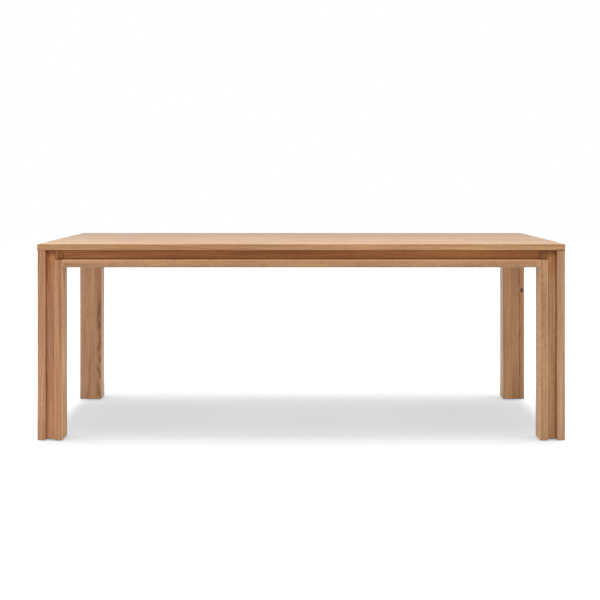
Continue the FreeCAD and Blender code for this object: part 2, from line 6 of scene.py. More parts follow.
import bmesh
import bpy
import numpy
from mathutils import Euler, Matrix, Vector


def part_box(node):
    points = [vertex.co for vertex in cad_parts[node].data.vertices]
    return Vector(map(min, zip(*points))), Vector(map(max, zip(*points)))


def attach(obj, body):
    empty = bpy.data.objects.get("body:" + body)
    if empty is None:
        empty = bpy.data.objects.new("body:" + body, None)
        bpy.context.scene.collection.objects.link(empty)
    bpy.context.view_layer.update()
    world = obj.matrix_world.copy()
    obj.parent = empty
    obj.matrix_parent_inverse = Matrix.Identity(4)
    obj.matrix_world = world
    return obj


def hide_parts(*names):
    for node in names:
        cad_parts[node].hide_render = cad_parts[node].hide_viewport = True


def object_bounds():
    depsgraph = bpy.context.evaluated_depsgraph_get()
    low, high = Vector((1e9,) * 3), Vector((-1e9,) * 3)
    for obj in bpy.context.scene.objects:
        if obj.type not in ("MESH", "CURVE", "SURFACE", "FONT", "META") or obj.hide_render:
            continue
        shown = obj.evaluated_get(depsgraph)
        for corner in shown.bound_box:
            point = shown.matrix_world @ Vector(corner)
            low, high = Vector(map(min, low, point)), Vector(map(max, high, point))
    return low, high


# Solid oak dining table on a white studio floor. Lengths are in metres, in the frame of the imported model.

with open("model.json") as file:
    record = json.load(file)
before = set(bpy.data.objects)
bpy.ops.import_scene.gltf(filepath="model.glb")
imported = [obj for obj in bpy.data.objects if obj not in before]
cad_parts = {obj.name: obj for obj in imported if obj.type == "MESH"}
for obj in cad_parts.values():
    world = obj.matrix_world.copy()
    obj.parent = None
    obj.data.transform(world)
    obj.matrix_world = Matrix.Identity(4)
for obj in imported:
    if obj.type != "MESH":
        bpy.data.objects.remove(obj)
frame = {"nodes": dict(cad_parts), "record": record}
nodes = frame["nodes"]
cad_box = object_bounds()

# Sizes read from the frame: half the leg frame in X and Y, the outer stiles and the underside of the top
STILE_LOW, STILE_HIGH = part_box("leg_front_right_outer_stile")
FRAME_HALF = (STILE_HIGH.x, -STILE_LOW.y)
STILE_SIZE = STILE_HIGH - STILE_LOW
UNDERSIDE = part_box("top_board_1")[0].z

# Camera: level, on the front side, with its axis through this pixel of the picture
PICTURE_SIZE = 600
AXIS_PIXEL = (306.9, 179.7)
FOCAL_PIXELS = 1266.5
SENSOR_WIDTH = 36.0
CAMERA_PLACE = (0.0214, -5.29, 0.9885)

# Light: a white dome, brighter towards the table's ends, and a broad soft lamp overhead
DOME_COLOUR = (1.0, 1.0, 1.0, 1.0)
DOME_LIGHT = 0.58
DOME_ENDS = 1.10
LAMP_LIGHT = 1.30
LAMP_HEIGHT = 8.0
LAMP_SIZE = (0.9, 3.5)

# Floor: a pale diffuse sheet, with a glow for the camera that lifts it to white outside the shadow, so that
# the glow paints the shadow's edges
FLOOR_SIZE = 30.0
FLOOR_DROP = 0.0001
FLOOR_COLOUR = (0.78, 0.73, 0.71, 1.0)
FLOOR_GLOW = (0.264, 0.346, 0.383)
FLOOR_CLEAR_GLOW = 0.43
SHADOW_ENDS = (0.94, 1.05)
SHADOW_SIDES = (0.70, 1.20)
# Painted shadow: the glow is less towards the shadow's ends, so that the shadow is even along the table
SHADOW_EVENING = 0.085
EVENED_ENDS = (0.20, 0.95)
EVENED_SIDES = (0.22, 0.40)

# Oak: sizes of its figure, along the grain and across it
BEND_LENGTH = 0.60
BEND_WIDTH = 0.16
BEND_DEPTH = 0.022
RING_WIDTH = 0.0031
RING_DRIFT = 0.014
RING_WANDER = 3.0
BAND_LENGTH = 0.50
BAND_WIDTH = 0.013
BAND_SPREAD = 0.10
BAND_DETAIL = (3.0, 0.6)
CLOUD_LENGTH = 0.50
CLOUD_WIDTH = 0.055
FIBRE_LENGTH = 0.060
FIBRE_WIDTH = 0.0011
FIBRE_DETAIL = 1.0
PORE_LENGTH = 0.010
PORE_WIDTH = 0.00045
PORE_DETAIL = 0.0
FLECK_LENGTH = 0.014
FLECK_DEPTH = 0.020
FLECK_TURNS = 140.0
FLECK_DETAIL = 1.0
SILVER_WIDTH = 0.007
SILVER_LENGTH = 0.030
SILVER_SLANT = 0.8
SILVER_PATCH = 0.11
SILVER_DETAIL = 1.0

# Oak: how much each layer of the figure darkens it, and the limits between which a layer sets in
NOISE_MIDDLE = 0.5
TONE_BASE = 0.40
RING_TONE = 0.35
BAND_TONE = 1.9
CLOUD_TONE = 0.8
FIBRE_TONE = 0.6
SILVER_TONE = 1.4
END_TONE = 0.45
END_LIMITS = (0.6, 0.95)
EARLY_OPENS = (0.0, 0.08)
EARLY_CLOSES = (0.20, 0.50)
BLUSH_LIMITS = (0.45, 0.70)
FLECK_LIMITS = (0.64, 0.74)
FLECK_STRENGTH = 0.45
SILVER_LIMITS = (0.40, 0.60)
PORE_LIMIT = 0.70
PORE_EARLY_DROP = 0.14
PORE_EDGE = 0.06
PORE_STRENGTH = 0.65
EARLY_ROUGHNESS = 0.08
CLOUD_ROUGHNESS = 0.20
PORE_ROUGHNESS = 0.20
EARLY_HOLLOW = 0.3
FIBRE_HEIGHT = 0.3
BUMP_DISTANCE = 0.0002
BUMP_STRENGTH = 0.35

# Oak: colours, in linear light
WOOD_PALE = (0.640, 0.338, 0.158, 1.0)
WOOD_DEEP = (0.330, 0.142, 0.055, 1.0)
WOOD_PORE = (0.170, 0.070, 0.028, 1.0)
WOOD_FLECK = (0.580, 0.345, 0.180, 1.0)
WOOD_MARK = (0.068, 0.018, 0.001, 1.0)
# Pale edges: wear and painted highlights
WOOD_WORN_AND_LIT = (0.840, 0.490, 0.270, 1.0)

# Oak: tints of its blush and streaks; painted shade on sheltered faces, in crevices and along the rails'
# bottom edges; a dark joint line that is partly painted shadow
BLUSH_TINT = (0.98, 0.89, 0.80, 1.0)
STREAK_TINT = (0.42, 0.30, 0.18, 1.0)
# Painted shade on faces sheltered in the channel under the top and in the grooves
SHELTER_SHADE_TINT = (0.82, 0.64, 0.39, 1.0)
# Painted shade in crevices, where ambient occlusion finds near faces
CREVICE_SHADE_TINT = (0.60, 0.37, 0.15, 1.0)
# A dark line at a leg's joint with the top, partly a painted shadow of a gap there
JOINT_LINE_AND_SHADOW_TINT = (0.44, 0.35, 0.23, 1.0)
# Painted shade along the lower rails' bottom edges, darker and greyer
RAIL_FOOT_SHADE_TINT = (0.73, 0.91, 1.13, 1.0)

# Oak: where those tints reach. Painted shade on sheltered faces sets in and ends over these lengths back from
# the leg frame, on faces that look along an axis by a share within these limits
SETBACK_STARTS = (0.004, 0.016)
SETBACK_ENDS = (0.030, 0.040)
FACING_LIMITS = (0.4, 0.8)
LEDGE_LIMITS = (0.85, 0.97)
SHELTER_SHADE_FOOT = 0.55
CREVICE_REACH = 0.007
CREVICE_LIMITS = (0.45, 0.95)
CREVICE_SAMPLES = 8
JOINT_REACH = (0.001, 0.005)
JOINT_FADE = 0.004
JOINT_DARKNESS = (0.35, 1.00)
RAIL_FOOT_SHADE_RISE = 0.014

# Oak: painted shade on the set-back faces of some pieces in the corner under the top: how dark, and how far
# down
CORNER_SHADE_TINT = (0.42, 0.33, 0.22, 1.0)
CORNER_REACH = 0.036
CORNER_SHADES = {"core": 1.0, "leg_front_right_inner": 0.8}

# Oak: edge wear with painted highlights: how far it reaches from an edge, how patchy it is and how strong on
# the pieces that have it
WEAR_AND_HIGHLIGHT_REACH = (0.0005, 0.0050)
WEAR_AND_HIGHLIGHT_PATCH = 0.033
WEAR_AND_HIGHLIGHT_LIMITS = (0.1, 0.5)
WEAR_AND_HIGHLIGHT_STRENGTHS = {"lower_rail": 1.0, "leg_front_left_inner": 0.6, "leg_front_right_inner": 0.6,
                  "outer_stile": 0.15, "top_board": 0.15}

# Natural marks: a knot's place, size and darkness, and a mineral streak's middle, length, width and strength
KNOTS = {
    "leg_rear_right_outer_stile": ((0.987, 0.4035, 0.491), 0.0070, 1.00),
    "front_lower_rail": ((-0.142, -0.4985, 0.669), 0.0060, 0.25),
}
STREAKS = {
    "leg_rear_right_outer_stile": ((0.9775, 0.4035, 0.310), 0.90, 0.0052, 0.75),
    "leg_rear_left_inner_stile": ((-0.9135, 0.4035, 0.220), 0.60, 0.0105, 0.90),
}
# A knot is longer along the grain and swells the rings round it. A streak wavers, breaks up and fades out
KNOT_STRETCH = 1.7
KNOT_SWELL = 5.0
KNOT_LIMITS = (0.6, 1.2)
STREAK_WAVER = 3.0
STREAK_WAVES = 8
STREAK_FADES = (0.3, 0.5)
STREAK_BREAKS = (0.34, 0.60)
STREAK_SPOTS = 12
STREAK_LEAST = 0.25

# Pieces cut on the quarter, which show silver grain, and how strongly
SILVER_PIECES = {"front_lower_rail": 0.85, "leg_front_right_inner": 0.6, "leg_front_right_core": 0.4,
                 "top_board_4": 0.4, "top_board_7": 0.4, "rear_lower_rail": 0.4}
# Pieces that are cut from another place in a trunk than the one that their name alone gives
TIMBERS = {
    "top_board_1": "timber 4",
    "front_apron": "timber 5",
    "leg_front_left_outer_stile": "timber 9",
    "leg_front_left_core": "timber 4",
    "leg_front_left_inner_stile": "timber 1",
    "leg_front_right_outer_stile": "timber 3",
    "leg_front_right_core": "timber 9",
    "leg_front_right_inner_stile": "timber 3",
    "leg_rear_left_core": "timber 2",
    "leg_rear_left_inner_stile": "timber 5",
    "leg_rear_right_outer_stile": "timber 5",
    "leg_rear_right_core": "timber 1",
    "leg_rear_right_inner_stile": "timber 5",
}
# Limits of a piece's tilt to the grain, of its tone and of its distance from the pith, and a trunk's length
TIMBER_TILT = 0.02
TIMBER_TONE = 0.10
PITH_REACH = (0.045, 0.13)
TRUNK_LENGTH = 30.0

# Tints of the pieces, partly their own tone, which differs as sawn oak does, and partly painted light and
# shade. Those whose words are in a piece's name are multiplied
PIECE_TONE_AND_LIGHT_TINTS = {
    "leg_front_left_outer": (1.09, 1.15, 1.39),
    "leg_front_left_core": (1.40, 1.57, 1.90),
    "leg_front_left_inner": (1.05, 1.11, 1.21),
    "leg_front_right_outer": (1.10, 1.35, 1.69),
    "leg_front_right_core": (1.27, 1.50, 1.69),
    "leg_front_right_inner": (0.92, 1.01, 1.11),
    "leg_rear_left_outer": (1.14, 1.36, 1.72),
    "leg_rear_left_core": (1.15, 1.31, 1.57),
    "leg_rear_left_inner": (1.06, 1.17, 1.33),
    "leg_rear_right_outer": (0.92, 0.96, 1.00),
    "leg_rear_right_core": (0.99, 1.08, 1.15),
    "leg_rear_right_inner": (1.23, 1.40, 1.58),
    "apron": (1.07, 1.13, 1.25),
    "lower_rail": (0.99, 1.00, 0.98),
    "top_board": (0.92, 0.95, 0.86),
    "top_board_1": (1.16, 1.24, 1.33),
    "top_board_2": (1.03, 1.04, 1.03),
}
# Painted light and shade on the inner stiles' faces that look along the table
SIDE_PAINTED_LIGHT = {
    "leg_front_left_inner": (1.13, 1.24, 1.16, 1.0),
    "leg_front_right_inner": (1.31, 1.55, 1.80, 1.0),
    "leg_rear_left_inner": (0.94, 1.02, 1.04, 1.0),
    "leg_rear_right_inner": (0.83, 0.96, 0.99, 1.0),
}
SIDE_LIMITS = (0.6, 0.9)
# Painted light on the top's face: how much paler it is at the front edge, and darker at the rear, than in the
# middle
TOP_LIGHT_FALLOFF = 0.24
TOP_FACE_LIMITS = (0.5, 0.9)
# A painted sheen on the top's left end, full up to the first place along the table, none past the second
LEFT_END_SHEEN_TINT = (1.03, 1.12, 1.21, 1.0)
LEFT_END_SHEEN_REACH = (-0.85, -0.50)

# Finish of the oak, as roughness and index of refraction: the top is rubbed, what lies inside is dry
OAK_FINISHES = {
    "top_board": (0.36, 1.50),
    "leg_front": (0.58, 1.45),
    "leg_rear": (0.48, 1.50),
    "apron": (0.55, 1.35),
    "bearer": (0.60, 1.35),
}
RAIL_FINISH = (0.42, 1.50)

# Zinc plating: colours in linear light, and sizes of its clouds and scratches
ZINC_DARK = (0.48, 0.49, 0.50, 1.0)
ZINC_BRIGHT = (0.72, 0.73, 0.73, 1.0)
ZINC_CAST = (0.66, 0.60, 0.44, 1.0)
ZINC_CLOUD = 0.011
ZINC_CLOUD_DETAIL = 4.0
ZINC_CAST_PATCH = 0.029
ZINC_CAST_LIMITS = (0.45, 0.75)
ZINC_CAST_STRENGTH = 0.5
ZINC_SCRATCH = (0.0004, 0.0004, 0.0063)
ZINC_SCRATCH_DETAIL = 1.0
ZINC_ROUGHNESS = (0.20, 0.48)
ZINC_BUMP = 0.12

# Nylon: colours in linear light, and sizes of its pebbled skin, clouds and worn sole
NYLON_DARK = (0.070, 0.042, 0.028, 1.0)
NYLON_PALE = (0.130, 0.082, 0.056, 1.0)
NYLON_WORN = (0.210, 0.160, 0.130, 1.0)
NYLON_PEBBLE = 0.0007
NYLON_CLOUD = 0.007
NYLON_CLOUD_DETAIL = 3.0
NYLON_SOLE = 0.0012
NYLON_RUB_LIMITS = (0.35, 0.65)
NYLON_RUB_STRENGTH = 0.5
NYLON_ROUGHNESS = (0.40, 0.60)
NYLON_RUB_ROUGHNESS = 0.25
NYLON_BUMP = 0.25
SKIN_DEPTH = 0.0001

# Fasteners: what the solids leave plain, as shares of the head's radius and height or as lengths
HEAD_ROUND = 24
HEAD_STEPS = 5
HEAD_WALL_SHARE = 0.35
HEAD_TOP_SHARE = 0.72
TIP_SHARE = 0.1
POINT_SHARE = 2.0
SLOT_REACH_SHARE = 0.62
SLOT_WIDTH_SHARE = 0.24
SLOT_DEPTH_SHARE = 0.75
SLOT_FLOOR_SHARE = 0.45
THREAD_ROUND = 18
THREAD_ROWS = 5
THREAD_PITCH = 0.00125
THREAD_DEPTH = 0.0007
THREAD_LENGTH = 0.0206
NUT_ROUND = 36
NUT_SIDE = math.pi / 3
NUT_FACE_SHARE = 0.95
NUT_CHAMFER = math.radians(30)
SOFT_EDGE = math.radians(35)
WELD = 1e-6


class Graph:
    """Short calls that add shader nodes to a tree and link them."""

    def __init__(self, tree):
        self.tree = tree

    def add(self, kind, inputs=None, **settings):
        node = self.tree.nodes.new(kind)
        for name, value in settings.items():
            setattr(node, name, value)
        for key, value in (inputs or {}).items():
            self.feed(node.inputs[key], value)
        return node

    def feed(self, socket, value):
        if isinstance(value, bpy.types.NodeSocket):
            self.tree.links.new(value, socket)
        else:
            socket.default_value = value

    def math(self, operation, first, second=0.0, third=0.0):
        node = self.add("ShaderNodeMath", {0: first, 1: second, 2: third}, operation=operation)
        return node.outputs[0]

    def vector(self, operation, first, second=(0.0, 0.0, 0.0)):
        node = self.add("ShaderNodeVectorMath", {0: first, 1: second}, operation=operation)
        return node.outputs["Vector"]

    def length(self, vector):
        return self.add("ShaderNodeVectorMath", {0: vector}, operation="LENGTH").outputs["Value"]

    def split(self, vector):
        return self.add("ShaderNodeSeparateXYZ", {0: vector}).outputs

    def join(self, x, y, z):
        return self.add("ShaderNodeCombineXYZ", {0: x, 1: y, 2: z}).outputs[0]

    def gap(self, place, side):
        """How far a place is from a side."""
        return self.math("ABSOLUTE", self.math("SUBTRACT", place, side))

    def ramp(self, value, low, high, start=0.0, end=1.0):
        """A smooth step from start to end while the value goes from low to high."""
        inputs = {"Value": value, "From Min": low, "From Max": high, "To Min": start, "To Max": end}
        return self.add("ShaderNodeMapRange", inputs, interpolation_type="SMOOTHSTEP").outputs["Result"]

    def noise(self, vector, detail=2.0, roughness=0.5):
        inputs = {"Vector": vector, "Scale": 1.0, "Detail": detail, "Roughness": roughness}
        return self.add("ShaderNodeTexNoise", inputs)

    def spots(self, point, sizes, detail=2.0):
        """Noise with spots of those sizes along the three axes."""
        return self.noise(self.vector("DIVIDE", point, sizes), detail).outputs["Fac"]

    def grain_noise(self, point, length, width, detail=2.0):
        """Noise with spots of that length along the grain and that width across it."""
        return self.spots(point, (length, width, width), detail)

    def centred(self, noise):
        """Noise less its middle value."""
        return self.math("SUBTRACT", noise, NOISE_MIDDLE)

    def mix(self, factor, first, second, blend="MIX"):
        """Two colours mixed, through the sockets that the Mix node has for colours."""
        inputs = {0: factor, 6: first, 7: second}
        return self.add("ShaderNodeMix", inputs, data_type="RGBA", blend_type=blend).outputs[2]


def new_group(name, inputs, outputs):
    """An empty node group, its graph, its input sockets and its output node."""
    group = bpy.data.node_groups.new(name, "ShaderNodeTree")
    for label, kind in inputs:
        group.interface.new_socket(label, in_out="INPUT", socket_type=kind)
    for label, kind in outputs:
        group.interface.new_socket(label, in_out="OUTPUT", socket_type=kind)
    graph = Graph(group)
    return group, graph, graph.add("NodeGroupInput").outputs, graph.add("NodeGroupOutput")


def make_oak_group():
    """Solid oak: growth rings about a pith along X, pores, rays and slow changes of tone."""
    group, graph, given, result = new_group(
        "oak",
        [("Point", "NodeSocketVector"), ("Swell", "NodeSocketFloat"), ("End", "NodeSocketFloat"),
         ("Tone", "NodeSocketFloat"), ("Silver", "NodeSocketFloat"), ("Roughness", "NodeSocketFloat")],
        [("Color", "NodeSocketColor"), ("Roughness", "NodeSocketFloat"), ("Height", "NodeSocketFloat")],
    )
    point = given["Point"]

    # The trunk bends slowly and swells round knots, so the rings wander in and out of a sawn face
    bend_place = graph.vector("DIVIDE", point, (BEND_LENGTH, BEND_WIDTH, BEND_WIDTH))
    bend = graph.vector("SUBTRACT", graph.noise(bend_place).outputs["Color"], (NOISE_MIDDLE,) * 3)
    bent = graph.vector("ADD", point, graph.vector("MULTIPLY", bend, (0.0, BEND_DEPTH, BEND_DEPTH)))
    along, side, depth = graph.split(bent)
    outward = graph.join(0.0, side, depth)
    radius = graph.math("ADD", graph.length(outward), given["Swell"])

    # Rings: open porous early wood, then dense late wood
    drift = graph.noise(graph.join(graph.math("DIVIDE", radius, RING_DRIFT), 0.0, 0.0)).outputs["Fac"]
    count = graph.math("DIVIDE", radius, RING_WIDTH)
    count = graph.math("MULTIPLY_ADD", drift, RING_WANDER, count)
    phase = graph.math("FRACT", count)
    early = graph.math(
        "MULTIPLY", graph.ramp(phase, *EARLY_OPENS), graph.ramp(phase, *EARLY_CLOSES, 1.0, 0.0))

    # Silver grain: flakes that slant across a face cut on the quarter, in patches
    slanted = graph.math("DIVIDE", graph.math("MULTIPLY_ADD", depth, SILVER_SLANT, along), SILVER_WIDTH)
    flake_place = graph.join(
        slanted, graph.math("DIVIDE", side, SILVER_LENGTH), graph.math("DIVIDE", depth, SILVER_LENGTH))
    patches = graph.ramp(graph.grain_noise(point, SILVER_PATCH, SILVER_PATCH), *SILVER_LIMITS)
    silver = graph.math("MULTIPLY", patches, given["Silver"])

    # Tone: bands that follow the rings, clouds, fine fibres and silver grain
    spread = graph.math("DIVIDE", graph.math("SUBTRACT", side, depth), BAND_SPREAD)
    band_place = graph.join(
        graph.math("DIVIDE", along, BAND_LENGTH), graph.math("DIVIDE", radius, BAND_WIDTH), spread)
    bands = graph.noise(band_place, *BAND_DETAIL)
    cloud = graph.grain_noise(point, CLOUD_LENGTH, CLOUD_WIDTH)
    fibre = graph.grain_noise(point, FIBRE_LENGTH, FIBRE_WIDTH, FIBRE_DETAIL)
    flakes = graph.noise(flake_place, SILVER_DETAIL).outputs["Fac"]
    depth_of_tone = graph.math("MULTIPLY_ADD", early, RING_TONE, TONE_BASE)
    layers = (
        (bands.outputs["Fac"], BAND_TONE), (cloud, CLOUD_TONE), (fibre, FIBRE_TONE),
        (flakes, graph.math("MULTIPLY", silver, SILVER_TONE)),
    )
    for layer, strength in layers:
        depth_of_tone = graph.math("MULTIPLY_ADD", graph.centred(layer), strength, depth_of_tone)
    depth_of_tone = graph.math("SUBTRACT", depth_of_tone, given["Tone"])
    depth_of_tone = graph.math("MULTIPLY_ADD", given["End"], END_TONE, depth_of_tone)
    colour = graph.mix(depth_of_tone, WOOD_PALE, WOOD_DEEP)
    blush = graph.ramp(graph.split(bands.outputs["Color"])[1], *BLUSH_LIMITS)
    colour = graph.mix(blush, colour, BLUSH_TINT, "MULTIPLY")

    # Rays: thin sheets that stand out from the pith, pale flecks where a face is cut along one
    heading = graph.vector("SCALE", graph.vector("NORMALIZE", outward))
    heading.node.inputs["Scale"].default_value = FLECK_TURNS
    lengthwise = graph.join(graph.math("DIVIDE", along, FLECK_LENGTH), 0.0, 0.0)
    fleck_place = graph.vector("ADD", heading, lengthwise)
    sheet = graph.noise(fleck_place, FLECK_DETAIL)
    sheet.noise_dimensions = "4D"
    graph.feed(sheet.inputs["W"], graph.math("DIVIDE", radius, FLECK_DEPTH))
    fleck = graph.ramp(sheet.outputs["Fac"], *FLECK_LIMITS)
    colour = graph.mix(graph.math("MULTIPLY", fleck, FLECK_STRENGTH), colour, WOOD_FLECK)

    # Pores: short dark dashes, close together in the early wood
    dash = graph.grain_noise(point, PORE_LENGTH, PORE_WIDTH, PORE_DETAIL)
    pore_limit = graph.math("MULTIPLY_ADD", early, -PORE_EARLY_DROP, PORE_LIMIT)
    pore = graph.ramp(graph.math("SUBTRACT", dash, pore_limit), 0.0, PORE_EDGE)
    colour = graph.mix(graph.math("MULTIPLY", pore, PORE_STRENGTH), colour, WOOD_PORE)

    roughness = graph.math("MULTIPLY_ADD", early, EARLY_ROUGHNESS, given["Roughness"])
    roughness = graph.math("MULTIPLY_ADD", graph.centred(cloud), CLOUD_ROUGHNESS, roughness)
    roughness = graph.math("MULTIPLY_ADD", pore, PORE_ROUGHNESS, roughness)
    height = graph.math("MULTIPLY_ADD", early, -EARLY_HOLLOW, graph.math("MULTIPLY", fibre, FIBRE_HEIGHT))
    height = graph.math("SUBTRACT", height, pore)
    graph.feed(result.inputs["Color"], colour)
    graph.feed(result.inputs["Roughness"], roughness)
    graph.feed(result.inputs["Height"], height)
    return group


def make_painted_shade_group():
    """Masks of painted shade on faces sheltered in the channel or the grooves, and of the dark, partly
    painted shadow line at a leg's joint with the top.
    """
    group, graph, given, result = new_group(
        "shelter_shade",
        [("Point", "NodeSocketVector"), ("Normal", "NodeSocketVector")],
        [("Sheltered shade", "NodeSocketFloat"), ("Joint line and shadow", "NodeSocketFloat")],
    )
    places = graph.split(given["Point"])
    headings = graph.split(given["Normal"])

    # Painted shade on the ledge in the channel, which faces up, and on the other sheltered faces, which look
    # out from behind the leg frame
    below = graph.ramp(places[2], UNDERSIDE - JOINT_FADE, UNDERSIDE, 1.0, 0.0)
    shelter_shade = graph.math("MULTIPLY", graph.ramp(headings[2], *LEDGE_LIMITS), below)
    # The joint line, partly painted shadow, lies just under the top on the outer stiles
    joint = graph.ramp(graph.gap(places[2], UNDERSIDE), *JOINT_REACH, 1.0, 0.0)
    for axis, outer in enumerate(FRAME_HALF):
        setback = graph.math("SUBTRACT", outer, graph.math("ABSOLUTE", places[axis]))
        inside = graph.math(
            "MULTIPLY", graph.ramp(setback, *SETBACK_STARTS), graph.ramp(setback, *SETBACK_ENDS, 1.0, 0.0))
        facing = graph.ramp(graph.math("ABSOLUTE", headings[axis]), *FACING_LIMITS)
        shelter_shade = graph.math("MULTIPLY_ADD", inside, facing, shelter_shade)
        over_stile = graph.ramp(setback, STILE_SIZE[axis], STILE_SIZE[axis] + JOINT_FADE, 1.0, 0.0)
        joint = graph.math("MULTIPLY", joint, over_stile)
    # The painted shade deepens upwards, towards the top's underside
    rise = graph.ramp(places[2], SHELTER_SHADE_FOOT, UNDERSIDE)
    # The joint line's painted shadow is darker towards the table's right end
    darkness = graph.ramp(places[0], -FRAME_HALF[0], FRAME_HALF[0], *JOINT_DARKNESS)
    graph.feed(result.inputs["Sheltered shade"], graph.math("MULTIPLY", shelter_shade, rise))
    graph.feed(result.inputs["Joint line and shadow"], graph.math("MULTIPLY", joint, darkness))
    return group


OAK = make_oak_group()
SHELTER_SHADE_GROUP = make_painted_shade_group()

# Turns that bring each grain axis to X
GRAIN_TURNS = {
    "x": Euler((0.0, 0.0, 0.0)),
    "y": Euler((0.0, 0.0, -math.pi / 2)),
    "z": Euler((0.0, math.pi / 2, 0.0)),
}

# How a piece was cut: its grain axis, its tilt to the grain, its distance and way from the pith, its tone
Timber = namedtuple("Timber", "grain tilt reach bearing tone")


def new_material(name):
    """An empty material, its graph and its shader."""
    material = bpy.data.materials.new(name)
    material.use_nodes = True
    graph = Graph(material.node_tree)
    return material, graph, material.node_tree.nodes["Principled BSDF"]


def grain_of(node):
    """Legs run upright, end rails, end aprons and bearers front to back, and the rest along the table."""
    if node.startswith("leg_"):
        return "z"
    if node.startswith(("left_", "right_", "bearer_")):
        return "y"
    return "x"


def listed(table, node):
    """The values of a table whose words are in a piece's name."""
    return [value for words, value in table.items() if words in node]


def draw_timber(node):
    """The place in a trunk that a piece was cut from, always the same one for its name."""
    draw = random.Random(f"{node} {TIMBERS.get(node, 'timber')}")
    tilt = Euler((0.0, draw.uniform(-TIMBER_TILT, TIMBER_TILT), draw.uniform(-TIMBER_TILT, TIMBER_TILT)))
    reach = draw.uniform(*PITH_REACH)
    bearing = draw.uniform(0.0, 2 * math.pi)
    tone = draw.uniform(-TIMBER_TONE, TIMBER_TONE)
    return Timber(grain_of(node), tilt, reach, bearing, tone)


def add_knot(graph, point, centre, size, darkness):
    """A dark heart, and the swelling of the rings round it, about a centre in grain coordinates."""
    offset = graph.vector("SUBTRACT", point, centre)
    distance = graph.length(graph.vector("DIVIDE", offset, (size * KNOT_STRETCH, size, size)))
    heart = graph.ramp(distance, *KNOT_LIMITS, darkness, 0.0)
    swell = graph.ramp(distance, 0.0, KNOT_SWELL, size, 0.0)
    return heart, swell


def add_streak(graph, point, middle, length, width, strength):
    """A wavering, uneven mineral streak along the grain, about a middle in grain coordinates."""
    along, side, depth = graph.split(graph.vector("SUBTRACT", point, middle))
    waver = graph.centred(graph.grain_noise(point, length / STREAK_WAVES, length))
    depth = graph.math("MULTIPLY_ADD", waver, width * STREAK_WAVER, depth)
    across = graph.ramp(graph.length(graph.join(0.0, side, depth)), 0.0, width, 1.0, 0.0)
    share = graph.math("DIVIDE", graph.math("ABSOLUTE", along), length)
    reach = graph.ramp(share, *STREAK_FADES, 1.0, 0.0)
    spots = graph.grain_noise(point, length / STREAK_SPOTS, length)
    uneven = graph.ramp(spots, *STREAK_BREAKS, STREAK_LEAST, 1.0)
    streak = graph.math("MULTIPLY", graph.math("MULTIPLY", across, reach), uneven)
    return graph.math("MULTIPLY", streak, strength)


def worn_and_lit_box(node):
    """The box whose edges get wear and painted highlights: the whole top for its boards, and otherwise the
    piece itself.
    """
    if not node.startswith("top_board"):
        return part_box(node)
    boards = [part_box(name) for name in nodes if name.startswith("top_board")]
    low = Vector(map(min, *(box[0] for box in boards)))
    high = Vector(map(max, *(box[1] for box in boards)))
    return low, high


def add_wear_and_highlight(graph, node, point):
    """Uneven wear and painted highlights along edges: all of the top's, and the upper and upright ones of the
    others.
    """
    low, high = worn_and_lit_box(node)
    gaps = []
    for axis, place in enumerate(graph.split(point)):
        far = graph.gap(place, high[axis])
        upper_only = axis == 2 and not node.startswith("top_board")
        gaps.append(far if upper_only else graph.math("MINIMUM", far, graph.gap(place, low[axis])))
    x, y, z = gaps
    # On an edge, two of the three gaps are small, so the middle one tells
    larger = graph.math("MAXIMUM", x, y)
    middle = graph.math("MAXIMUM", graph.math("MINIMUM", x, y), graph.math("MINIMUM", larger, z))
    rubbed = graph.ramp(graph.grain_noise(point, WEAR_AND_HIGHLIGHT_PATCH, WEAR_AND_HIGHLIGHT_PATCH), *WEAR_AND_HIGHLIGHT_LIMITS)
    return graph.math("MULTIPLY", graph.ramp(middle, *WEAR_AND_HIGHLIGHT_REACH, 1.0, 0.0), rubbed)


def paint_top_light(graph, coordinates, colour):
    """Painted light on the top's face: paler towards the front, darker towards the rear, and a painted sheen
    at its left end.
    """
    up = graph.ramp(graph.split(coordinates["Normal"])[2], *TOP_FACE_LIMITS)
    along, across = graph.split(coordinates["Object"])[:2]
    falloff = graph.math("MULTIPLY_ADD", graph.math("MULTIPLY", up, across), -TOP_LIGHT_FALLOFF / cad_box[1][1], 1.0)
    colour = graph.mix(1.0, colour, graph.join(falloff, falloff, falloff), "MULTIPLY")
    left_sheen = graph.math("MULTIPLY", up, graph.ramp(along, *LEFT_END_SHEEN_REACH, 1.0, 0.0))
    return graph.mix(left_sheen, colour, LEFT_END_SHEEN_TINT, "MULTIPLY")


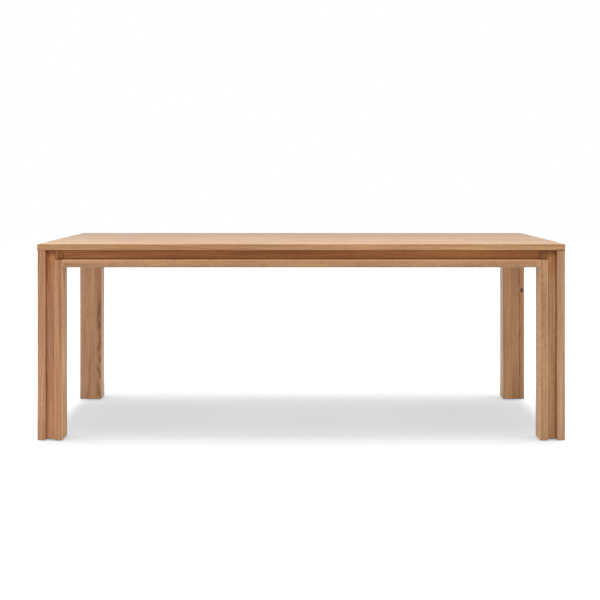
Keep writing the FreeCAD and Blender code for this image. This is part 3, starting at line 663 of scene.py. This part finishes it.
def paint_light_and_wear(graph, node, coordinates, colour):
    """Painted light and shade on a piece, with its edge wear: the top's painted light and sheen, pale edges,
    and painted shade in the channel, grooves, corners and crevices, at the top's joint and along the rails'
    bottom edges.
    """
    point = coordinates["Object"]
    # Painted light and sheen on the top's face
    if node.startswith("top_board"):
        colour = paint_top_light(graph, coordinates, colour)
    # Pale edges, partly wear and partly painted highlights, on the upper and upright edges
    for strength in listed(WEAR_AND_HIGHLIGHT_STRENGTHS, node):
        wear_and_highlight = add_wear_and_highlight(graph, node, point)
        colour = graph.mix(graph.math("MULTIPLY", wear_and_highlight, strength), colour, WOOD_WORN_AND_LIT)
    # Painted shade along a lower rail's bottom edge, fading out upwards
    if node.endswith("lower_rail"):
        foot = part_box(node)[0].z
        foot_shade = graph.ramp(graph.split(point)[2], foot, foot + RAIL_FOOT_SHADE_RISE, 1.0, 0.0)
        colour = graph.mix(foot_shade, colour, RAIL_FOOT_SHADE_TINT, "MULTIPLY")
    # Painted shade on sheltered faces in the channel and the grooves
    shelter_shade = graph.add("ShaderNodeGroup", node_tree=SHELTER_SHADE_GROUP)
    graph.feed(shelter_shade.inputs["Point"], point)
    graph.feed(shelter_shade.inputs["Normal"], coordinates["Normal"])
    colour = graph.mix(shelter_shade.outputs["Sheltered shade"], colour, SHELTER_SHADE_TINT, "MULTIPLY")
    # Painted shade in the corner under the top, on the set-back faces of some pieces
    for strength in listed(CORNER_SHADES, node):
        rise = graph.ramp(graph.split(point)[2], UNDERSIDE - CORNER_REACH, UNDERSIDE, 0.0, strength)
        shade = graph.math("MULTIPLY", shelter_shade.outputs["Sheltered shade"], rise)
        colour = graph.mix(shade, colour, CORNER_SHADE_TINT, "MULTIPLY")
    # A dark joint line under the top, partly painted shadow
    colour = graph.mix(shelter_shade.outputs["Joint line and shadow"], colour, JOINT_LINE_AND_SHADOW_TINT, "MULTIPLY")
    # Painted shade in corners and crevices, from ambient occlusion
    open_air = graph.add("ShaderNodeAmbientOcclusion", {"Distance": CREVICE_REACH}, samples=CREVICE_SAMPLES)
    crevice_shade = graph.ramp(open_air.outputs["AO"], *CREVICE_LIMITS, 1.0, 0.0)
    return graph.mix(crevice_shade, colour, CREVICE_SHADE_TINT, "MULTIPLY")


def oak_material(node, timber):
    """Oak for one piece, cut from its own place in its own trunk."""
    material, graph, shader = new_material(f"oak_{node}")
    low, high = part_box(node)
    turn = timber.tilt.to_matrix() @ GRAIN_TURNS[timber.grain].to_matrix()
    pith = timber.reach * Vector((0.0, math.cos(timber.bearing), math.sin(timber.bearing)))
    start = pith - turn @ ((low + high) / 2)
    start.x += random.Random(node).uniform(0.0, TRUNK_LENGTH)
    coordinates = graph.add("ShaderNodeTexCoord").outputs
    mapping = graph.add("ShaderNodeMapping", {
        "Vector": coordinates["Object"], "Location": start, "Rotation": turn.to_euler()})
    point = mapping.outputs["Vector"]
    facing = graph.split(coordinates["Normal"])["xyz".index(timber.grain)]

    roughness, refraction = next(iter(listed(OAK_FINISHES, node)), RAIL_FINISH)
    wood = graph.add("ShaderNodeGroup", node_tree=OAK)
    graph.feed(wood.inputs["Point"], point)
    graph.feed(wood.inputs["End"], graph.ramp(graph.math("ABSOLUTE", facing), *END_LIMITS))
    graph.feed(wood.inputs["Tone"], timber.tone)
    graph.feed(wood.inputs["Silver"], max(listed(SILVER_PIECES, node), default=0.0))
    graph.feed(wood.inputs["Roughness"], roughness)
    colour = wood.outputs["Color"]
    if node in STREAKS:
        place, *form = STREAKS[node]
        streak = add_streak(graph, point, start + turn @ Vector(place), *form)
        colour = graph.mix(streak, colour, STREAK_TINT, "MULTIPLY")
    if node in KNOTS:
        place, *form = KNOTS[node]
        heart, swell = add_knot(graph, point, start + turn @ Vector(place), *form)
        graph.feed(wood.inputs["Swell"], swell)
        colour = graph.mix(heart, colour, WOOD_MARK)
    # Each piece's own tone, partly painted light and shade
    tints = listed(PIECE_TONE_AND_LIGHT_TINTS, node)
    if tints:
        colour = graph.mix(1.0, colour, (*map(math.prod, zip(*tints)), 1.0), "MULTIPLY")
    # Painted light and shade on faces that look along the table
    for tint in listed(SIDE_PAINTED_LIGHT, node):
        sideways = graph.math("ABSOLUTE", graph.split(coordinates["Normal"])[0])
        colour = graph.mix(graph.ramp(sideways, *SIDE_LIMITS), colour, tint, "MULTIPLY")
    colour = paint_light_and_wear(graph, node, coordinates, colour)

    bump = graph.add("ShaderNodeBump", {
        "Height": wood.outputs["Height"], "Distance": BUMP_DISTANCE, "Strength": BUMP_STRENGTH})
    graph.feed(shader.inputs["Base Color"], colour)
    graph.feed(shader.inputs["Roughness"], wood.outputs["Roughness"])
    graph.feed(shader.inputs["Normal"], bump.outputs["Normal"])
    graph.feed(shader.inputs["IOR"], refraction)
    return material


def dress(node, material):
    """Give a CAD node that material alone."""
    slots = nodes[node].data.materials
    slots.clear()
    slots.append(material)


def dress_oak():
    for piece in frame["record"]["subparts"]:
        if "oak" in piece["material_slot"]:
            dress(piece["node"], oak_material(piece["node"], draw_timber(piece["node"])))


def dress_slot(slot, material):
    for piece in frame["record"]["subparts"]:
        if piece["material_slot"] == slot:
            dress(piece["node"], material)


def zinc_material():
    """Bright zinc plating: cloudy grey, with fine scratches and a faint yellow cast in places."""
    material, graph, shader = new_material("zinc_steel")
    point = graph.add("ShaderNodeTexCoord").outputs["Object"]
    cloud = graph.grain_noise(point, ZINC_CLOUD, ZINC_CLOUD, ZINC_CLOUD_DETAIL)
    cast = graph.grain_noise(point, ZINC_CAST_PATCH, ZINC_CAST_PATCH)
    scratch = graph.spots(point, ZINC_SCRATCH, ZINC_SCRATCH_DETAIL)
    colour = graph.mix(cloud, ZINC_DARK, ZINC_BRIGHT)
    colour = graph.mix(graph.ramp(cast, *ZINC_CAST_LIMITS, 0.0, ZINC_CAST_STRENGTH), colour, ZINC_CAST)
    bump = graph.add("ShaderNodeBump", {"Height": scratch, "Distance": SKIN_DEPTH, "Strength": ZINC_BUMP})
    graph.feed(shader.inputs["Base Color"], colour)
    graph.feed(shader.inputs["Metallic"], 1.0)
    graph.feed(shader.inputs["Roughness"], graph.ramp(cloud, 0.0, 1.0, *ZINC_ROUGHNESS))
    graph.feed(shader.inputs["Normal"], bump.outputs["Normal"])
    return material


def nylon_material():
    """Brown moulded nylon: a fine pebbled skin, dulled where it has slid over the floor."""
    material, graph, shader = new_material("nylon")
    point = graph.add("ShaderNodeTexCoord").outputs["Object"]
    pebble = graph.grain_noise(point, NYLON_PEBBLE, NYLON_PEBBLE)
    cloud = graph.grain_noise(point, NYLON_CLOUD, NYLON_CLOUD, NYLON_CLOUD_DETAIL)
    sole = graph.ramp(graph.split(point)[2], 0.0, NYLON_SOLE, 1.0, 0.0)
    rubbed = graph.math("MULTIPLY", sole, graph.ramp(cloud, *NYLON_RUB_LIMITS))
    colour = graph.mix(cloud, NYLON_DARK, NYLON_PALE)
    colour = graph.mix(graph.math("MULTIPLY", rubbed, NYLON_RUB_STRENGTH), colour, NYLON_WORN)
    roughness = graph.ramp(pebble, 0.0, 1.0, *NYLON_ROUGHNESS)
    roughness = graph.math("MULTIPLY_ADD", rubbed, NYLON_RUB_ROUGHNESS, roughness)
    bump = graph.add("ShaderNodeBump", {"Height": pebble, "Distance": SKIN_DEPTH, "Strength": NYLON_BUMP})
    graph.feed(shader.inputs["Base Color"], colour)
    graph.feed(shader.inputs["Roughness"], roughness)
    graph.feed(shader.inputs["Normal"], bump.outputs["Normal"])
    return material


def solids_of(node):
    """The points of each separate solid in a CAD node."""
    shape = bmesh.new()
    shape.from_mesh(nodes[node].data)
    bmesh.ops.remove_doubles(shape, verts=shape.verts, dist=WELD)
    seen = set()
    solids = []
    for first in shape.verts:
        if first in seen:
            continue
        seen.add(first)
        reached = [first]
        # The list grows while it is walked, until no neighbour is new
        for vert in reached:
            others = {edge.other_vert(vert) for edge in vert.link_edges} - seen
            seen |= others
            reached += others
        solids.append([vert.co.copy() for vert in reached])
    shape.free()
    return solids


def turned_axis(points):
    """The middle of a long turned solid, and its axis towards the end with the larger radius."""
    centre = sum(points, Vector()) / len(points)
    spread = numpy.cov(numpy.array([point - centre for point in points]).T)
    axis = Vector(numpy.linalg.eigh(spread)[1][:, -1])
    widest = max(points, key=lambda point: (point - centre).cross(axis).length)
    return centre, axis if (widest - centre).dot(axis) > 0 else -axis


def measure(points, centre, axis):
    """Radius and height of each point about the axis."""
    return [((point - centre).cross(axis).length, (point - centre).dot(axis)) for point in points]


def ring(radius, height, count):
    """Points round Z. The radius is a length or a function of the angle."""
    points = []
    for angle in (2 * math.pi * step / count for step in range(count)):
        out = radius(angle) if callable(radius) else radius
        points.append(Vector((out * math.cos(angle), out * math.sin(angle), height)))
    return points


def skin(name, rings, hoop=False):
    """A mesh through rings of equally many points, capped at both ends or closed into a hoop."""
    shape = bmesh.new()
    rows = [[shape.verts.new(point) for point in points] for points in rings]
    for near, far in zip(rows, rows[1:] + rows[:1] if hoop else rows[1:]):
        for column, corner in enumerate(near):
            following = (column + 1) % len(near)
            shape.faces.new((corner, near[following], far[following], far[column]))
    if not hoop:
        shape.faces.new(reversed(rows[0]))
        shape.faces.new(rows[-1])
    bmesh.ops.recalc_face_normals(shape, faces=shape.faces)
    mesh = bpy.data.meshes.new(name)
    shape.to_mesh(mesh)
    shape.free()
    return mesh


def cut_away(mesh, tool):
    """The mesh less the tool."""
    holders = [bpy.data.objects.new(part.name, part) for part in (mesh, tool)]
    for holder in holders:
        bpy.context.scene.collection.objects.link(holder)
    cut = holders[0].modifiers.new("recess", "BOOLEAN")
    cut.object = holders[1]
    result = bpy.data.meshes.new_from_object(holders[0].evaluated_get(bpy.context.evaluated_depsgraph_get()))
    for holder in holders:
        bpy.data.objects.remove(holder)
    return result


def cross_recess(name, radius, crown, rise):
    """The tool that cuts a cross into a head of that radius, from its crown down, narrower at the floor."""
    long = radius * SLOT_REACH_SHARE
    wide = radius * SLOT_WIDTH_SHARE / 2
    plus = [Vector(corner) for corner in ((long, -wide), (long, wide), (wide, wide))]
    # Each further arm is the one before, turned by a quarter
    for quarter in range(3):
        plus += [Vector((-corner.y, corner.x)) for corner in plus[-3:]]
    floor = crown - rise * SLOT_DEPTH_SHARE
    return skin(name, [
        [Vector((*corner * SLOT_FLOOR_SHARE, floor)) for corner in plus],
        [Vector((*corner, crown)) for corner in plus],
        [Vector((*corner, crown + rise)) for corner in plus],
    ])


def screw_mesh(name, places):
    """A pan-head screw with a cross recess, along Z with the head up."""
    radius = max(out for out, height in places)
    crown = max(height for out, height in places)
    seat = min(height for out, height in places if out > radius - WELD)
    point = min(height for out, height in places)
    shank = max(out for out, height in places if point < height < seat - WELD)
    rise = crown - seat
    outline = [
        (shank * TIP_SHARE, point), (shank, point + shank * POINT_SHARE), (shank, seat), (radius, seat)]
    for step in range(HEAD_STEPS + 1):
        turn = step / HEAD_STEPS * math.pi / 2
        out = HEAD_TOP_SHARE + (1 - HEAD_TOP_SHARE) * math.cos(turn)
        up = HEAD_WALL_SHARE + (1 - HEAD_WALL_SHARE) * math.sin(turn)
        outline.append((radius * out, seat + rise * up))
    head = skin(name, [ring(out, height, HEAD_ROUND) for out, height in outline])
    return cut_away(head, cross_recess(f"{name}_recess", radius, crown, rise))


def bolt_mesh(name, places):
    """A hanger bolt along Z, with a machine thread on the end that stands out of the leg."""
    radius = max(out for out, height in places)
    point = min(height for out, height in places)
    end = max(height for out, height in places)
    start = end - THREAD_LENGTH

    def thread(height):
        """The thread's radius at a height, as a function of the angle."""
        depth = THREAD_DEPTH * min(1.0, (height - start) / THREAD_PITCH)
        limit = radius - max(0.0, height - end + THREAD_DEPTH)

        def outline(angle):
            phase = (height / THREAD_PITCH - angle / (2 * math.pi)) % 1
            return min(limit, radius - depth * abs(2 * phase - 1))

        return outline

    rings = [
        ring(radius * TIP_SHARE, point, THREAD_ROUND),
        ring(radius, point + radius * POINT_SHARE, THREAD_ROUND),
    ]
    rows = round(THREAD_LENGTH / THREAD_PITCH * THREAD_ROWS)
    for row in range(rows + 1):
        height = start + THREAD_LENGTH * row / rows
        rings.append(ring(thread(height), height, THREAD_ROUND))
    return skin(name, rings)


def nut_mesh(name, places):
    """A hexagon nut along Z, chamfered at both faces."""
    bore = min(out for out, height in places)
    top = max(height for out, height in places)
    flat = max(out for out, height in places) * math.cos(NUT_SIDE / 2)
    face = flat * NUT_FACE_SHARE

    def hexagon(angle):
        return flat / math.cos(angle % NUT_SIDE - NUT_SIDE / 2)

    def chamfered(side):
        points = ring(hexagon, 0.0, NUT_ROUND)
        for point in points:
            point.z = side * (top - (point.length - face) * math.tan(NUT_CHAMFER))
        return points

    return skin(name, [
        ring(bore, -top, NUT_ROUND), ring(face, -top, NUT_ROUND), chamfered(-1),
        chamfered(1), ring(face, top, NUT_ROUND), ring(bore, top, NUT_ROUND),
    ], hoop=True)


def stand_in(node, master, placings, material):
    """One piece for a CAD node of like fasteners: a copy of the master at each place and axis."""
    whole = bmesh.new()
    for centre, axis in placings:
        copy = master.copy()
        turn = Vector((0.0, 0.0, 1.0)).rotation_difference(axis).to_matrix().to_4x4()
        turn.translation = centre
        copy.transform(turn)
        whole.from_mesh(copy)
        bpy.data.meshes.remove(copy)
    mesh = bpy.data.meshes.new(f"{node}_detail")
    whole.to_mesh(mesh)
    whole.free()
    mesh.shade_smooth()
    mesh.set_sharp_from_angle(angle=SOFT_EDGE)
    mesh.materials.append(material)
    piece = bpy.data.objects.new(f"{node}_detail", mesh)
    bpy.context.scene.collection.objects.link(piece)
    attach(piece, "root")
    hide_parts(node)


def detail_screws(material):
    """Screws with cross recesses in the places of the plain ones."""
    for node in ("top_clip_screws", "bearer_screws", "corner_plate_screws"):
        screws = solids_of(node)
        placings = [turned_axis(points) for points in screws]
        master = screw_mesh(node, measure(screws[0], *placings[0]))
        stand_in(node, master, placings, material)


def detail_bolts(material):
    """Threaded bolts and chamfered nuts in the places of the plain ones."""
    bolts = solids_of("hanger_bolts")
    bolt_placings = []
    for points in bolts:
        centre, axis = turned_axis(points)
        # The threaded end points towards the table's middle
        outward = Vector((centre.x, centre.y, 0.0))
        bolt_placings.append((centre, -axis if axis.dot(outward) > 0 else axis))
    master = bolt_mesh("hanger_bolt", measure(bolts[0], *bolt_placings[0]))
    stand_in("hanger_bolts", master, bolt_placings, material)

    nuts = solids_of("hanger_nuts")
    nut_placings = []
    for points in nuts:
        centre = sum(points, Vector()) / len(points)
        nearest = min(bolt_placings, key=lambda placing: (placing[0] - centre).length)
        nut_placings.append((centre, nearest[1]))
    master = nut_mesh("hanger_nut", measure(nuts[0], *nut_placings[0]))
    stand_in("hanger_nuts", master, nut_placings, material)


def white_rays(graph):
    """One for rays from the camera and for what gloss and glass show of the surroundings."""
    path = graph.add("ShaderNodeLightPath").outputs
    seen = graph.math("MAXIMUM", path["Is Camera Ray"], path["Is Glossy Ray"])
    return graph.math("MAXIMUM", seen, path["Is Transmission Ray"])


def make_world():
    """A dome that is brighter towards the table's ends, and plain white where it is seen."""
    world = bpy.data.worlds.new("studio")
    bpy.context.scene.world = world
    world.use_nodes = True
    graph = Graph(world.node_tree)
    background = world.node_tree.nodes["Background"]
    background.inputs["Color"].default_value = DOME_COLOUR
    along = graph.split(graph.add("ShaderNodeTexCoord").outputs["Generated"])[0]
    level = graph.math("MULTIPLY_ADD", graph.math("MULTIPLY", along, along), DOME_ENDS, DOME_LIGHT)
    seen = white_rays(graph)
    unlit = graph.math("SUBTRACT", 1.0, level)
    graph.feed(background.inputs["Strength"], graph.math("MULTIPLY_ADD", seen, unlit, level))


def make_lamp():
    """An area lamp, its power set so that the floor below gets LAMP_LIGHT watts per square metre."""
    lamp = bpy.data.lights.new("overhead", "AREA")
    lamp.shape = "RECTANGLE"
    lamp.size, lamp.size_y = LAMP_SIZE
    lamp.energy = LAMP_LIGHT * math.pi * LAMP_HEIGHT ** 2
    holder = bpy.data.objects.new("overhead", lamp)
    holder.location.z = LAMP_HEIGHT
    holder.visible_camera = False
    bpy.context.scene.collection.objects.link(holder)


def floor_material():
    """White for the camera outside the shadow, whose edges and evenness the glow paints, and clear from
    below, where the table's underside is seen.
    """
    material = bpy.data.materials.new("floor")
    material.use_nodes = True
    tree = material.node_tree
    tree.nodes.clear()
    graph = Graph(tree)
    place = graph.vector("ABSOLUTE", graph.add("ShaderNodeTexCoord").outputs["Object"])
    along, across = graph.split(place)[:2]
    # The glow paints the shadow's edges past the table's ends and sides, and deepens its ends
    past_ends = graph.ramp(along, *SHADOW_ENDS, 0.0, FLOOR_CLEAR_GLOW)
    past_sides = graph.ramp(across, *SHADOW_SIDES, 0.0, FLOOR_CLEAR_GLOW)
    near_ends = graph.ramp(along, *EVENED_ENDS, 0.0, -SHADOW_EVENING)
    near_middle = graph.ramp(across, *EVENED_SIDES, 1.0, 0.0)
    change = graph.math("MULTIPLY_ADD", near_ends, near_middle, graph.math("MAXIMUM", past_ends, past_sides))
    glow_colour = graph.vector("ADD", FLOOR_GLOW, graph.join(change, change, change))
    glow = graph.add("ShaderNodeEmission", {"Color": glow_colour, "Strength": white_rays(graph)})
    sheet = graph.add("ShaderNodeBsdfDiffuse", {"Color": FLOOR_COLOUR})
    seen_above = graph.add("ShaderNodeAddShader", {0: sheet.outputs[0], 1: glow.outputs[0]})
    clear = graph.add("ShaderNodeBsdfTransparent")
    from_below = graph.add("ShaderNodeNewGeometry").outputs["Backfacing"]
    one_sided = graph.add("ShaderNodeMixShader", {
        0: from_below, 1: seen_above.outputs[0], 2: clear.outputs[0]})
    graph.add("ShaderNodeOutputMaterial", {"Surface": one_sided.outputs[0]})
    return material


def make_floor():
    half = FLOOR_SIZE / 2
    corners = [(x, y, -FLOOR_DROP) for x, y in ((-half, -half), (half, -half), (half, half), (-half, half))]
    mesh = bpy.data.meshes.new("floor")
    mesh.from_pydata(corners, [], [(0, 1, 2, 3)])
    mesh.materials.append(floor_material())
    floor = bpy.data.objects.new("floor", mesh)
    bpy.context.scene.collection.objects.link(floor)


def make_camera():
    lens = bpy.data.cameras.new("camera")
    lens.sensor_width = SENSOR_WIDTH
    lens.lens = FOCAL_PIXELS * SENSOR_WIDTH / PICTURE_SIZE
    lens.shift_x = 0.5 - AXIS_PIXEL[0] / PICTURE_SIZE
    lens.shift_y = AXIS_PIXEL[1] / PICTURE_SIZE - 0.5
    camera = bpy.data.objects.new("camera", lens)
    camera.location = CAMERA_PLACE
    camera.rotation_euler = (math.pi / 2, 0.0, 0.0)
    bpy.context.scene.collection.objects.link(camera)
    bpy.context.scene.camera = camera


bpy.context.scene.view_settings.view_transform = "Standard"
make_world()
make_lamp()
make_floor()
make_camera()
dress_oak()
zinc = zinc_material()
dress_slot("zinc_steel", zinc)
dress_slot("nylon", nylon_material())
detail_screws(zinc)
detail_bolts(zinc)
